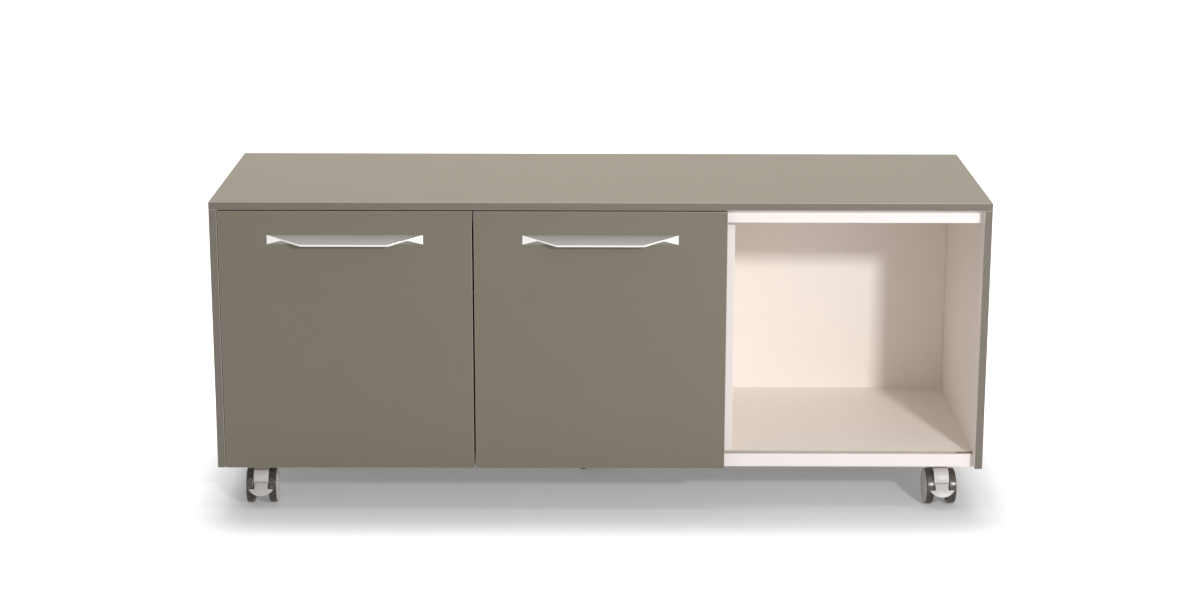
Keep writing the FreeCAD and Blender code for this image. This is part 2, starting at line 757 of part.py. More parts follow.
def caster_plate(label, stem_x, stem_y):
    """Square steel plate with the swivel race and the kingpin riveted in."""
    body = new_body(label)
    half = plate_side / 2
    holes = [Circle(x, y, caster_screw_radius + plate_hole_play) for x, y in plate_corners]
    add(body, "+z", plate_bottom, plate_thick, rectangle(-half, half, -half, half), *holes)

    def corner_edge(box):
        return box.ZLength > 1 and close_to(abs(box.XMin), half) and close_to(abs(box.YMin), half)

    round_edges(body, plate_corner, corner_edge)
    add(body, "+z", race_bottom, race_height, Circle(0, 0, race_radius))
    add(body, "-z", race_bottom, kingpin_length, Circle(0, 0, kingpin_radius))
    place(body, stem_x, stem_y, 0)


def caster_hood(label, stem_x, stem_y, turn, braked):
    """Moulded hood between the wheels, bored for the kingpin and the axle."""
    body = new_body(label)
    add(
        body, "x", 0, hood_width,
        [
            (hood_rear, hood_top),
            (-hood_front, hood_top),
            (-hood_front, hood_chin),
            (-trail - axle_boss, hood_chin),
            (-trail - axle_boss, wheel_radius),
            (-trail + axle_boss, wheel_radius),
            (hood_rear, hood_top - hood_tail),
        ],
    )

    def top_edge_at(y):
        return lambda box: close_to(box.ZMin, hood_top) and close_to(box.YMin, y) and close_to(box.YMax, y)

    round_edges(body, hood_top - hood_chin - hood_lip, top_edge_at(-hood_front))
    round_edges(body, hood_rear_round, top_edge_at(hood_rear))
    add(body, "x", 0, hood_width, Circle(-trail, wheel_radius, axle_boss))
    if braked:
        add(body, "x", 0, hood_width, Circle(-pivot_out, pivot_rise, cheek_radius))
        cut(
            body, "x", 0, pedal_neck + 2 * pedal_play,
            rectangle(
                -hood_front - cheek_radius, -trail - axle_boss,
                pivot_rise - 2 * cheek_radius, hood_chin,
            ),
        )
        cut(body, "x", 0, 2 * hood_width, Circle(-pivot_out, pivot_rise, pedal_pin_radius + axle_play))
    cut(body, "-z", hood_top, kingpin_length, Circle(0, 0, kingpin_radius + axle_play))
    cut(body, "x", 0, 2 * hood_width, Circle(-trail, wheel_radius, axle_radius + hole_play))
    place(body, stem_x, stem_y, 0, turn)


def down_the_pedal(distance):
    """A point (y, z) in the middle of the pedal's sheet, this far down its slope."""
    middle = pedal_thick / 2
    return (
        -pedal_top_out - distance * cosine(pedal_slope) + middle * sine(pedal_slope),
        pedal_top_rise - distance * sine(pedal_slope) - middle * cosine(pedal_slope),
    )


def draw_pedal_face(drawing):
    """The neck, and below it the wider foot whose lower edge is one arc."""
    half_neck, half_foot = pedal_neck / 2, pedal_foot_width / 2
    points = [
        (half_foot, -pedal_foot_start),
        (half_neck, -pedal_foot_start),
        (half_neck, known(0)),
        (-half_neck, known(0)),
        (-half_neck, -pedal_foot_start),
        (-half_foot, -pedal_foot_start),
    ]
    corners = [Vector(x.number, y.number) for x, y in points]
    for here, after in zip(corners, corners[1:]):
        drawing.addGeometry(Part.LineSegment(here, after))
    arc = drawing.addGeometry(Part.Arc(corners[-1], Vector(0, -pedal_length.number), corners[0]))
    for i in range(1, arc):
        drawing.addConstraint(Sketcher.Constraint("Coincident", i - 1, 2, i, 1))
    drawing.addConstraint(Sketcher.Constraint("Coincident", arc - 1, 2, arc, 1))
    drawing.addConstraint(Sketcher.Constraint("Coincident", 0, 1, arc, 2))
    for i, (x, y) in enumerate(points[:-1]):
        pin_down(drawing, "DistanceX", i, 1, x)
        pin_down(drawing, "DistanceY", i, 1, y)
    pin_down(drawing, "DistanceX", arc - 1, 2, points[-1][0])
    pin_down(drawing, "DistanceY", arc - 1, 2, points[-1][1])
    sag = pedal_length - pedal_foot_start
    curve = (half_foot * half_foot + sag * sag) / (2 * sag)
    held = drawing.addConstraint(Sketcher.Constraint("Radius", arc, curve.number))
    drawing.renameConstraint(held, "curve")
    bind(drawing, "Constraints.curve", curve)


def brake_pedal(label, stem_x, stem_y, turn):
    """Barrel with two stub pins, a sloping neck, and a foot with a curved lower edge."""
    body = new_body(label)
    web = barrel_radius - pedal_play
    add(body, "x", 0, pedal_neck, Circle(-pivot_out, pivot_rise, barrel_radius))
    add(
        body, "x", 0, pedal_neck,
        [
            (-pivot_out, pivot_rise + web),
            down_the_pedal(pedal_thick / 2),
            down_the_pedal(pedal_bridge),
            (-pivot_out, pivot_rise - web),
        ],
    )
    add(body, "x", 0, hood_width, Circle(-pivot_out, pivot_rise, pedal_pin_radius))
    face = sketch(body, "z", 0, [])
    draw_pedal_face(face)
    face.AttachmentOffset = Placement(Vector(), Rotation(Vector(1, 0, 0), 1))
    bind(face, "AttachmentOffset.Rotation.Angle", pedal_slope)
    bind(face, "AttachmentOffset.Base.y", -pedal_top_out)
    bind(face, "AttachmentOffset.Base.z", pedal_top_rise)
    plate = body.newObject("PartDesign::Pad", "Pad")
    plate.Profile = face
    plate.Reversed = True
    bind(plate, "Length", pedal_thick)
    place(body, stem_x, stem_y, 0, turn)


def wheel_part(outline):
    """An outline in (along the axle, radius), turned about the axle."""
    body = new_body("Turned", node=False)
    drawing = sketch(body, "y", 0, [outline])
    made = body.newObject("PartDesign::Revolution", "Revolution")
    made.Profile = drawing
    made.ReferenceAxis = (drawing, ["H_Axis"])
    return body


def wheel_core():
    """Rim, side cover and hub in one, with a blind bore for the axle."""
    return wheel_part(
        [
            (wheel_start, core_bore),
            (wheel_start, hub_radius),
            (cover_back, hub_radius),
            (cover_back, core_radius - rim_wall),
            (wheel_start + cover_lip, core_radius - rim_wall),
            (wheel_start + cover_lip, core_radius),
            (wheel_end - cover_lip, core_radius),
            (wheel_end - cover_lip, core_radius - rim_wall / 2),
            (cover_face, core_radius - rim_wall),
            (cover_face, 0),
            (cover_face - cap_wall, 0),
            (cover_face - cap_wall, core_bore),
        ]
    )


def wheel_tread():
    """Soft ring with both outer edges rounded."""
    body = wheel_part(rectangle(wheel_start, wheel_end, core_radius, wheel_radius))
    round_edges(
        body, tread_depth - tread_flat,
        lambda box: close_to(box.ZMax, wheel_radius) and box.XLength < tread_flat.number,
    )
    return body


def wheel_pair(label, one, x, y, turn):
    """The same wheel part on both sides of the hood."""
    other = doc.addObject("Part::Mirroring", "Mirrored")
    other.Source = one
    other.Normal = Vector(1, 0, 0)
    place(group(label, [one, other]), x, y, wheel_radius, turn)


def caster(label, stem_x, stem_y, turn, braked=False):
    """A twin-wheel caster on its swivel axis; returns the plate's screws."""
    caster_plate(f"{label}_caster_plate", stem_x, stem_y)
    caster_hood(f"{label}_caster_hood", stem_x, stem_y, turn, braked)
    axle_place = (stem_x + trail * sine(turn), stem_y - trail * cosine(turn))
    axle = new_body(f"{label}_caster_axle")
    add(axle, "x", 0, 2 * cover_back, Circle(0, 0, axle_radius))
    place(axle, *axle_place, wheel_radius, turn)
    wheel_pair(f"{label}_wheel_cores", wheel_core(), *axle_place, turn)
    wheel_pair(f"{label}_treads", wheel_tread(), *axle_place, turn)
    if braked:
        brake_pedal(f"{label}_brake_pedal", stem_x, stem_y, turn)
    places = [(stem_x + x, stem_y + y) for x, y in plate_corners]
    bite = caster_screw_length - plate_thick
    drill(bottom_panel, "+z", caster_height, bite, places, caster_screw_radius + hole_play)
    caster_screw = (caster_screw_length, caster_screw_radius, caster_head_radius, caster_head_height)
    return [screw("+z", (x, y, plate_bottom), *caster_screw) for x, y in places]


stem_side = width / 2 - caster_inset
stem_front = front + caster_inset
stem_back = back - caster_inset
caster_screws = caster("front_left", -stem_side, stem_front, front_left_turn, braked=True)
caster_screws += caster("front_right", stem_side, stem_front, front_right_turn, braked=True)
caster_screws += caster("rear_left", -stem_side, stem_back, rear_left_turn)
caster_screws += caster("rear_right", stem_side, stem_back, rear_right_turn)
caster_screws += caster("centre", known(0), front + depth / 2, centre_turn)
group("caster_screws", caster_screws)

# ---------------------------------------------------------------- check and write

doc.recompute()
for thing in doc.Objects:
    if "Invalid" in thing.State or "Error" in thing.State:
        raise SystemExit(f"{thing.Name} ({thing.Label}) failed: {thing.State}")
    if thing.TypeId == "PartDesign::Pocket":
        removed = thing.BaseFeature.Shape.Volume - thing.Shape.Volume
        if removed < 1:
            raise SystemExit(f"{thing.Name} cuts nothing")

os.makedirs("parts", exist_ok=True)
for node in nodes:
    shape = node.Shape
    if shape.isNull() or not shape.isValid() or not shape.Solids:
        raise SystemExit(f"{node.Label} has no valid solid")
    shape.exportStep(f"parts/{node.Label}.step")
print(f"{len(nodes)} nodes, {sum(len(node.Shape.Solids) for node in nodes)} solids")
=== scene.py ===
import json
import math

import bmesh
import bpy
from mathutils import Matrix, Vector


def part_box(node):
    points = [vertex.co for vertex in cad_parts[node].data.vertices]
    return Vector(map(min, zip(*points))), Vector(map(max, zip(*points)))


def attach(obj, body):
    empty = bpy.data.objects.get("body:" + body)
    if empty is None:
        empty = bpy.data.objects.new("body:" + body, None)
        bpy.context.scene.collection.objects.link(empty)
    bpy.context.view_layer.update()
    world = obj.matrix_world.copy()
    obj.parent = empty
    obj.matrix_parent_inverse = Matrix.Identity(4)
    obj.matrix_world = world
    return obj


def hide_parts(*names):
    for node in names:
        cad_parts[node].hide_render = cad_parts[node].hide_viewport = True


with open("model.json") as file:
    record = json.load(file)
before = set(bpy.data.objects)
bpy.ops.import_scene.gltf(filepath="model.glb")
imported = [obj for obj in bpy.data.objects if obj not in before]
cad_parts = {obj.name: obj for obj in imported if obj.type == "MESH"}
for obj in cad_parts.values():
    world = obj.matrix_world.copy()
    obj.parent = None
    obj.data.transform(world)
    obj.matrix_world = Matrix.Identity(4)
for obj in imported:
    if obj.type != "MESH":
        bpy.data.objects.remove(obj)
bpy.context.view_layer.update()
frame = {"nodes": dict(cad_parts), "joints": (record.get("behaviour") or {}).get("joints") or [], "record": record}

# ------------------------------------------------------------------ top and sides
# Three chipboard panels, warm grey melamine outside and off-white inside, with a grey edge band
# ironed on all round. The top lies on the two sides; dowels and glue hold them together.


class Tone:
    """A value in a shader tree; sums written with it become Math nodes."""

    def __init__(self, shader, socket):
        self.shader = shader
        self.socket = socket

    def __add__(self, other):
        return self.shader.sum("ADD", self, other)

    def __radd__(self, other):
        return self.shader.sum("ADD", other, self)

    def __sub__(self, other):
        return self.shader.sum("SUBTRACT", self, other)

    def __mul__(self, other):
        return self.shader.sum("MULTIPLY", self, other)

    def __gt__(self, other):
        return self.shader.sum("GREATER_THAN", self, other)


class Shader:
    """A shader tree in the making: node() adds one node and hands back what comes out of it."""

    def __init__(self, owner):
        owner.use_nodes = True
        self.tree = owner.node_tree
        self.tree.nodes.clear()

    def node(self, kind, settings=None, sockets=None, output=0):
        added = self.tree.nodes.new(kind)
        for name, value in (settings or {}).items():
            setattr(added, name, value)
        for name, value in (sockets or {}).items():
            if isinstance(value, Tone):
                self.tree.links.new(value.socket, added.inputs[name])
            else:
                added.inputs[name].default_value = value
        return added if output is None else Tone(self, added.outputs[output])

    def sum(self, operation, first, second):
        return self.node("ShaderNodeMath", {"operation": operation}, {0: first, 1: second})

    def vector(self, operation, *values, output=0):
        sockets = dict(enumerate(values))
        return self.node("ShaderNodeVectorMath", {"operation": operation}, sockets, output)


class Finish(Shader):
    """A material in the making, drawn in the object's own coordinates."""

    def __init__(self, name):
        self.material = bpy.data.materials.new(name)
        super().__init__(self.material)
        self.place = self.node("ShaderNodeTexCoord", output="Object")

    def mix(self, amount, first, second):
        colours = {6: first, 7: second}
        for key, colour in colours.items():
            if not isinstance(colour, Tone):
                colours[key] = (*colour, 1)
        return self.node("ShaderNodeMix", {"data_type": "RGBA"}, {0: amount, **colours}, output=2)

    def noise(self, scale, detail, roughness=0.5, stretch=(1, 1, 1)):
        place = self.vector("MULTIPLY", self.place, stretch)
        wanted = {"Vector": place, "Scale": scale, "Detail": detail, "Roughness": roughness}
        return self.node("ShaderNodeTexNoise", sockets=wanted)

    def bump(self, height, depth, strength):
        wanted = {"Height": height, "Distance": depth, "Strength": strength}
        return self.node("ShaderNodeBump", sockets=wanted)

    def shade(self, colour, roughness, **others):
        wanted = {"Base Color": colour, "Roughness": roughness, **others}
        shader = self.node("ShaderNodeBsdfPrincipled", sockets=wanted)
        self.node("ShaderNodeOutputMaterial", sockets={"Surface": shader}, output=None)
        return self


def tint(colour, by):
    return tuple(min(1.0, part * by) for part in colour)


def melamine(name, colour, roughness, contrast=0.09):
    """Pressed melamine: pearl texture, a faint cloudiness, and shine that varies where hands go."""
    made = Finish(name)
    pearl = made.noise(1300, 4, 0.6)
    fibre = made.noise(420, 3, 0.55)
    cloud = made.noise(7, 3)
    smudge = made.noise(16, 4, 0.6)
    spread = 0.5 + (pearl - 0.5) * 1.1 + (fibre - 0.5) * 0.8 + (cloud - 0.5) * 0.25
    face = made.mix(spread, tint(colour, 1 - contrast), tint(colour, 1 + contrast))
    relief = made.bump(pearl * 0.6 + fibre * 0.4, 0.00009, 0.45)
    return made.shade(face, roughness + (smudge - 0.5) * 0.06 + (pearl - 0.5) * 0.08, Normal=relief)


def edge_band(name, colour, roughness, contrast=0.05):
    """Extruded plastic strip: smoother than the panel's faces, with scraper marks and faint nicks."""
    made = Finish(name)
    streak = made.noise(90, 3, 0.6)
    fine = made.noise(1800, 2)
    nick = made.noise(260, 2) > 0.72
    spread = 0.5 + (streak - 0.5) * 0.9 + (fine - 0.5) * 0.4
    face = made.mix(spread, tint(colour, 1 - contrast), tint(colour, 1 + contrast))
    worn = made.mix(nick * 0.25, face, tint(colour, 1 + 5 * contrast))
    relief = made.bump(streak * 0.6 + fine * 0.4, 0.00005, 0.3)
    return made.shade(worn, roughness + (streak - 0.5) * 0.12, Normal=relief)


body_of = {n: body for body, nodes in frame["record"]["behaviour"]["bodies"].items() for n in nodes}


def finished(name, shape, finishes, *nodes):
    """Makes the mesh an object that stands for these nodes and rides with the first one's body."""
    mesh = bpy.data.meshes.new(name)
    shape.to_mesh(mesh)
    shape.free()
    for finish in finishes:
        mesh.materials.append(finish.material)
    made = bpy.data.objects.new(name, mesh)
    bpy.context.scene.collection.objects.link(made)
    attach(made, body_of[nodes[0]])
    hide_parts(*nodes)


def ease_edges(shape, ease):
    """Rounds every edge; flat faces stay flat shaded and the roundings smooth."""
    rounded = bmesh.ops.bevel(
        shape, geom=shape.edges[:], offset=ease, segments=3, profile=0.5, affect="EDGES"
    )
    for face in rounded["faces"]:
        face.smooth = True
    shape.normal_update()


board_ease = 0.0008
square_on = 0.99


def panel(node):
    """The node's box as a board with eased edges."""
    low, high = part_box(node)
    shape = bmesh.new()
    bmesh.ops.create_cube(shape, size=1)
    size = Matrix.Diagonal((*(high - low), 1))
    bmesh.ops.transform(shape, matrix=Matrix.Translation((low + high) / 2) @ size, verts=shape.verts)
    ease_edges(shape, board_ease)
    return shape


def board(node, outward, outside, inside, band, corner):
    """A panel on its node's box: a finish for each side, the band round it and its trimmed corners; on the grey
    boards the corners' finish is also a painted highlight.
    """
    shape = panel(node)
    on_outside, on_inside, on_band, on_corner = range(4)
    for face in shape.faces:
        facing = face.normal.dot(Vector(outward))
        if max(abs(part) for part in face.normal) < square_on:
            face.material_index = on_corner
        elif facing > square_on:
            face.material_index = on_outside
        elif facing < -square_on:
            face.material_index = on_inside
        else:
            face.material_index = on_band
    finished(f"{node}_board", shape, (outside, inside, band, corner), node)


grey_melamine = melamine("warm_grey_melamine", (0.170, 0.149, 0.115), 0.58)
grey_edge = edge_band("warm_grey_edge_band", (0.150, 0.131, 0.107), 0.42)
# Trimmed corners of the grey band: a little paler where the scraper cut, and lightened further as a painted
# highlight along every edge of the top, sides and doors.
grey_corner_painted_highlight = edge_band("trimmed_grey_corner_painted_highlight", (0.34, 0.305, 0.265), 0.34)
white_melamine = melamine("off_white_melamine", (0.90, 0.83, 0.775), 0.48, 0.022)
white_edge = edge_band("off_white_edge_band", (0.86, 0.80, 0.78), 0.38, 0.012)

board("top_panel", (0, 0, 1), grey_melamine, white_melamine, grey_edge, grey_corner_painted_highlight)
board("left_side_panel", (-1, 0, 0), grey_melamine, white_melamine, grey_edge, grey_corner_painted_highlight)
board("right_side_panel", (1, 0, 0), grey_melamine, white_melamine, grey_edge, grey_corner_painted_highlight)

# ------------------------------------------------------------------ white boards inside
# Partitions and loose shelves are off-white melamine on both faces, with a white band on their
# front edges. The partitions are dowelled to the floor and top; the shelves lie on pins.

board("left_partition", (1, 0, 0), white_melamine, white_melamine, white_edge, white_edge)
board("right_partition", (1, 0, 0), white_melamine, white_melamine, white_edge, white_edge)
board("left_bay_shelf", (0, 0, 1), white_melamine, white_melamine, white_edge, white_edge)
board("middle_bay_shelf", (0, 0, 1), white_melamine, white_melamine, white_edge, white_edge)

# ------------------------------------------------------------------ floor board and front rail
# Two off-white boards that run from side to side, each with a groove milled along it for a track.
# They are dowelled between the sides, and their front edges show below and above the open bay.


def prism(ends, ease):
    """A shape between two outlines with the same number of corners, its edges eased."""
    shape = bmesh.new()
    first, second = [[shape.verts.new(corner) for corner in outline] for outline in ends]
    shape.faces.new(first)
    shape.faces.new(second)
    for i in range(len(first)):
        j = (i + 1) % len(first)
        shape.faces.new((first[i], first[j], second[j], second[i]))
    bmesh.ops.recalc_face_normals(shape, faces=shape.faces)
    ease_edges(shape, ease)
    return shape


def along(node, outline, finishes, ease):
    """An outline in (y, z), millimetres, along the node's length. The last finish faces forward."""
    low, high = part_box(node)
    shape = prism([[(x, y / 1000, z / 1000) for y, z in outline] for x in (low.x, high.x)], ease)
    for face in shape.faces:
        forward = face.normal.y < -0.3
        face.material_index = len(finishes) - 1 if forward else 0
    finished(f"{node}_run", shape, finishes, node)


floor_groove = [(-213.5, 117), (-213.5, 109), (-197.5, 109), (-197.5, 117)]
rail_groove = [(-199.5, 616), (-199.5, 626), (-211.5, 626), (-211.5, 616)]
floor_outline = [(254.5, 117), (254.5, 89.5), (-215.5, 89.5), (-215.5, 117), *floor_groove]
rail_outline = [(-190.5, 616), (-190.5, 646), (-215.5, 646), (-215.5, 616), *rail_groove[::-1]]
along("bottom_panel", floor_outline, (white_melamine, white_edge), 0.0004)
along("top_rail", rail_outline, (white_melamine, white_edge), 0.0004)

# ------------------------------------------------------------------ tracks and their stops
# Extruded grey plastic channels pressed into the grooves: the doors' rollers run in the lower one
# and their guide pegs in the upper one. A rubber block at each end of the lower one ends the travel.

track_plastic = Finish("track_plastic")
drawn = track_plastic.noise(500, 3, stretch=(0.02, 1, 1))
dust = track_plastic.noise(60, 4, 0.6)
worn_line = track_plastic.noise(900, 2, stretch=(0.01, 1, 1))
track_spread = 0.5 + (drawn - 0.5) * 1.2 + (dust - 0.5) * 0.5
track_tone = track_plastic.mix(track_spread, (0.50, 0.455, 0.41), (0.60, 0.55, 0.50))
track_plastic.shade(
    track_tone, 0.38 + (dust - 0.5) * 0.2, Normal=track_plastic.bump(drawn + worn_line * 0.5, 0.00005, 0.4)
)
lower_outline = [
    (-214.75, 117), (-214.75, 118), (-212, 118), (-212, 110.5), (-199, 110.5), (-199, 118),
    (-196.25, 118), (-196.25, 117), (-197.5, 117), (-197.5, 109), (-213.5, 109), (-213.5, 117),
]
upper_outline = [
    (-199.5, 626), (-199.5, 616), (-201, 616), (-201, 624.5), (-210, 624.5), (-210, 616),
    (-211.5, 616), (-211.5, 626),
]
along("bottom_track", lower_outline, (track_plastic,), 0.00025)
along("top_track", upper_outline, (track_plastic,), 0.00025)

weld_distance = 0.000002
flat_within = math.radians(0.4)
sharp_from = math.radians(35)


def welded(node):
    """A copy of the node's mesh with its triangles joined up."""
    shape = bmesh.new()
    shape.from_mesh(frame["nodes"][node].data)
    bmesh.ops.remove_doubles(shape, verts=shape.verts, dist=weld_distance)
    return shape


def eased(node, finish, ease):
    """The node's own shape, its flat faces whole, its sharp edges eased and its round faces smooth."""
    shape = welded(node)
    bmesh.ops.dissolve_limit(
        shape, angle_limit=flat_within, use_dissolve_boundaries=False,
        verts=shape.verts, edges=shape.edges, delimit={"NORMAL"},
    )
    shape.normal_update()
    corners = [e for e in shape.edges if e.is_manifold and e.calc_face_angle() > sharp_from]
    if ease:
        bmesh.ops.bevel(
            shape, geom=corners, offset=ease, segments=2, profile=0.5, affect="EDGES", clamp_overlap=True
        )
    for face in shape.faces:
        face.smooth = True
    for edge in shape.edges:
        if edge.is_manifold:
            edge.smooth = edge.calc_face_angle() < sharp_from
    finished(f"{node}_finished", shape, (finish,), node)


def moulded(name, colour, roughness, grain, depth, contrast):
    """Injection-moulded plastic or rubber: spark-eroded grain, faint flow lines, handling marks."""
    made = Finish(name)
    skin = made.noise(grain, 3, 0.6)
    flow = made.noise(55, 3, 0.5, stretch=(1, 1, 0.4))
    scuff = made.noise(240, 5, 0.7)
    spread = 0.5 + (skin - 0.5) * 0.8 + (flow - 0.5) * 0.8
    face = made.mix(spread, tint(colour, 1 - contrast), tint(colour, 1 + contrast))
    face = made.mix((scuff > 0.66) * 0.18, face, tint(colour, 1.25))
    relief = made.bump(skin + flow * 0.3, depth, 0.5)
    return made.shade(face, roughness + (scuff - 0.5) * 0.18, Normal=relief)


stop_rubber = moulded("stop_rubber", (0.24, 0.20, 0.175), 0.62, 900, 0.00008, 0.15)
eased("track_stops", stop_rubber, 0.0003)

# ------------------------------------------------------------------ dowels and shelf pins
# Beech dowels sit glued inside the joints of the boards. Zinc-plated steel pins stand out of the
# walls under each shelf; the plating has a crystalline sheen, fine drawing lines and duller patches.

beech = Finish("beech")
ring = beech.noise(260, 4, 0.6, stretch=(1, 1, 0.15))
fleck = beech.noise(1400, 2, stretch=(1, 1, 0.1))
beech_tone = beech.mix(0.5 + (ring - 0.5) * 1.6, (0.46, 0.30, 0.17), (0.66, 0.47, 0.29))
beech_tone = beech.mix((fleck > 0.62) * 0.35, beech_tone, (0.34, 0.20, 0.11))
beech.shade(beech_tone, 0.62 + (ring - 0.5) * 0.2, Normal=beech.bump(ring + fleck * 0.5, 0.0001, 0.5))

plating = (0.66, 0.66, 0.64)
zinc = Finish("zinc_plate")
spangle = zinc.node("ShaderNodeTexVoronoi", sockets={"Vector": zinc.place, "Scale": 700})
dull = zinc.noise(130, 4, 0.6)
zinc_spread = 0.5 + (spangle - 0.5) * 0.5 + (dull - 0.5) * 0.9
zinc_tone = zinc.mix(zinc_spread, tint(plating, 0.86), tint(plating, 1.1))
zinc_relief = zinc.bump(spangle * 0.5 + zinc.noise(2200, 2) * 0.5, 0.00003, 0.35)
zinc.shade(zinc_tone, 0.34 + (dull - 0.5) * 0.22, Metallic=1.0, Normal=zinc_relief)
eased("carcass_dowels", beech, 0)
eased("shelf_pins", zinc, 0.0003)

# ------------------------------------------------------------------ back panel and the screws
# A thin off-white board closes the back. Zinc-plated cross-head screws hold it to the floor board
# and the partitions, their heads sunk in seats cut through its face; others hold the caster plates.


def solids(node):
    """The (low, high) boxes of a node's separate solids, sorted so that each run lists them alike."""
    shape = welded(node)
    left = set(shape.verts)
    boxes = []
    while left:
        reached = [left.pop()]
        island = list(reached)
        while reached:
            for edge in reached.pop().link_edges:
                for vert in edge.verts:
                    if vert in left:
                        left.remove(vert)
                        reached.append(vert)
                        island.append(vert)
        sides = [[vert.co[axis] for vert in island] for axis in range(3)]
        boxes.append((Vector(map(min, sides)), Vector(map(max, sides))))
    shape.free()
    return sorted(boxes, key=lambda box: tuple(box[0]))


class Pattern:
    """A geometry tree in the making, with named inputs for its sizes."""

    def __init__(self, name, sizes):
        self.tree = bpy.data.node_groups.new(name, "GeometryNodeTree")
        sides = self.tree.interface
        sides.new_socket("Geometry", in_out="INPUT", socket_type="NodeSocketGeometry")
        sides.new_socket("Finish", in_out="INPUT", socket_type="NodeSocketMaterial")
        for size in sizes:
            sides.new_socket(size, in_out="INPUT", socket_type="NodeSocketFloat")
        sides.new_socket("Geometry", in_out="OUTPUT", socket_type="NodeSocketGeometry")
        self.given = self.tree.nodes.new("NodeGroupInput").outputs
        self.result = self.tree.nodes.new("NodeGroupOutput").inputs

    def node(self, kind, settings=None, sockets=None, output=0):
        added = self.tree.nodes.new(kind)
        for name, value in (settings or {}).items():
            setattr(added, name, value)
        for name, value in (sockets or {}).items():
            for one in value if isinstance(value, list) else [value]:
                if isinstance(one, bpy.types.NodeSocket):
                    self.tree.links.new(one, added.inputs[name])
                else:
                    added.inputs[name].default_value = one
        return added.outputs[output]

    def sum(self, operation, first, second):
        return self.node("ShaderNodeMath", {"operation": operation}, {0: first, 1: second})

    def vector(self, **axes):
        return self.node("ShaderNodeCombineXYZ", sockets=axes)

    def moved(self, geometry, **to):
        return self.node("GeometryNodeTransform", sockets={"Geometry": geometry, **to})

    def finish(self, geometry):
        real = self.node("GeometryNodeRealizeInstances", sockets={"Geometry": geometry})
        wanted = {"Geometry": real, "Material": self.given["Finish"]}
        done = self.node("GeometryNodeSetMaterial", sockets=wanted)
        self.tree.links.new(done, self.result["Geometry"])

    def run(self, name, points, finish, sizes):
        """Runs the tree on points and hands back a plain mesh."""
        seeds = bpy.data.meshes.new("seeds")
        seeds.from_pydata(points, [], [])
        holder = bpy.data.objects.new("seeds", seeds)
        bpy.context.scene.collection.objects.link(holder)
        modifier = holder.modifiers.new("pattern", "NODES")
        modifier.node_group = self.tree
        wanted = {"Finish": finish.material, **sizes}
        for item in self.tree.interface.items_tree:
            if item.in_out == "INPUT" and item.name in wanted:
                modifier[item.identifier] = wanted[item.name]
        ready = holder.evaluated_get(bpy.context.evaluated_depsgraph_get())
        mesh = bpy.data.meshes.new_from_object(ready)
        bpy.data.objects.remove(holder)
        mesh.name = name
        return mesh


screw_sizes = ["Head radius", "Head height", "Shank radius", "Shank length"]
screws = Pattern("cross_head_screws", screw_sizes)
head_radius, head_height, shank_radius, shank_length = [screws.given[size] for size in screw_sizes]
# Shares of the head's radius, and for the slots' depth of its height. The slots are centred on the
# top of the head, so that half of their depth cuts into it.
crown_share, slot_length_share, slot_width_share, slot_depth_share = 0.78, 1.15, 0.26, 1.2
head = screws.node(
    "GeometryNodeMeshCone",
    sockets={
        "Vertices": 28, "Depth": head_height, "Radius Bottom": head_radius,
        "Radius Top": screws.sum("MULTIPLY", head_radius, crown_share),
    },
)
slot_size = screws.vector(
    X=screws.sum("MULTIPLY", head_radius, slot_length_share),
    Y=screws.sum("MULTIPLY", head_radius, slot_width_share),
    Z=screws.sum("MULTIPLY", head_height, slot_depth_share),
)
slot_place = screws.vector(Z=head_height)
slot_box = screws.node("GeometryNodeMeshCube", sockets={"Size": slot_size})
first_slot = screws.moved(slot_box, Translation=slot_place)
second_slot = screws.moved(first_slot, Rotation=(0, 0, math.pi / 2))
recessed = screws.node(
    "GeometryNodeMeshBoolean", {"operation": "DIFFERENCE", "solver": "EXACT"},
    {"Mesh 1": head, "Mesh 2": [first_slot, second_slot]},
)
shank = screws.node(
    "GeometryNodeMeshCylinder", sockets={"Vertices": 16, "Radius": shank_radius, "Depth": shank_length}
)
half_down = screws.sum("MULTIPLY", shank_length, -0.5)
shank = screws.moved(shank, Translation=screws.vector(Z=half_down))
whole = screws.node("GeometryNodeJoinGeometry", sockets={"Geometry": [recessed, shank]})
twist = screws.node(
    "FunctionNodeRandomValue", {"data_type": "FLOAT"}, {"Min": 0.0, "Max": 1.5, "Seed": 7}, output=1
)
placed = screws.node(
    "GeometryNodeInstanceOnPoints",
    sockets={
        "Points": screws.given["Geometry"], "Instance": whole,
        "Rotation": screws.vector(Z=twist),
    },
)
screws.finish(placed)


def screw_set(node, head_way, head_size, shank_size):
    """Zinc-plated screws on the node's solids, all of the last one's length.

    head_way is the way the heads face, head_size their radius and height, shank_size a radius.
    """
    way = Vector(head_way)
    turn = Vector((0, 0, 1)).rotation_difference(way).to_matrix().to_4x4()
    seats = []
    for low, high in solids(node):
        tip = sum(max(near * part, far * part) for near, far, part in zip(low, high, way))
        centre = (low + high) / 2
        seat = centre + way * (tip - centre.dot(way) - head_size[1])
        length = (high - low).dot(Vector(map(abs, way))) - head_size[1]
        seats.append(turn.inverted() @ seat)
    sizes = dict(zip(screw_sizes, (*head_size, shank_size, length)))
    mesh = screws.run(f"{node}_set", seats, zinc, sizes)
    mesh.transform(turn)
    shape = bmesh.new()
    shape.from_mesh(mesh)
    bpy.data.meshes.remove(mesh)
    finished(f"{node}_set", shape, (zinc,), node)


raw_board = Finish("raw_board")
fibres = raw_board.noise(900, 4, 0.7)
raw_tone = raw_board.mix(0.5 + (fibres - 0.5) * 1.6, (0.24, 0.15, 0.085), (0.42, 0.29, 0.18))
raw_board.shade(raw_tone, 0.85, Normal=raw_board.bump(fibres, 0.0002, 0.6))


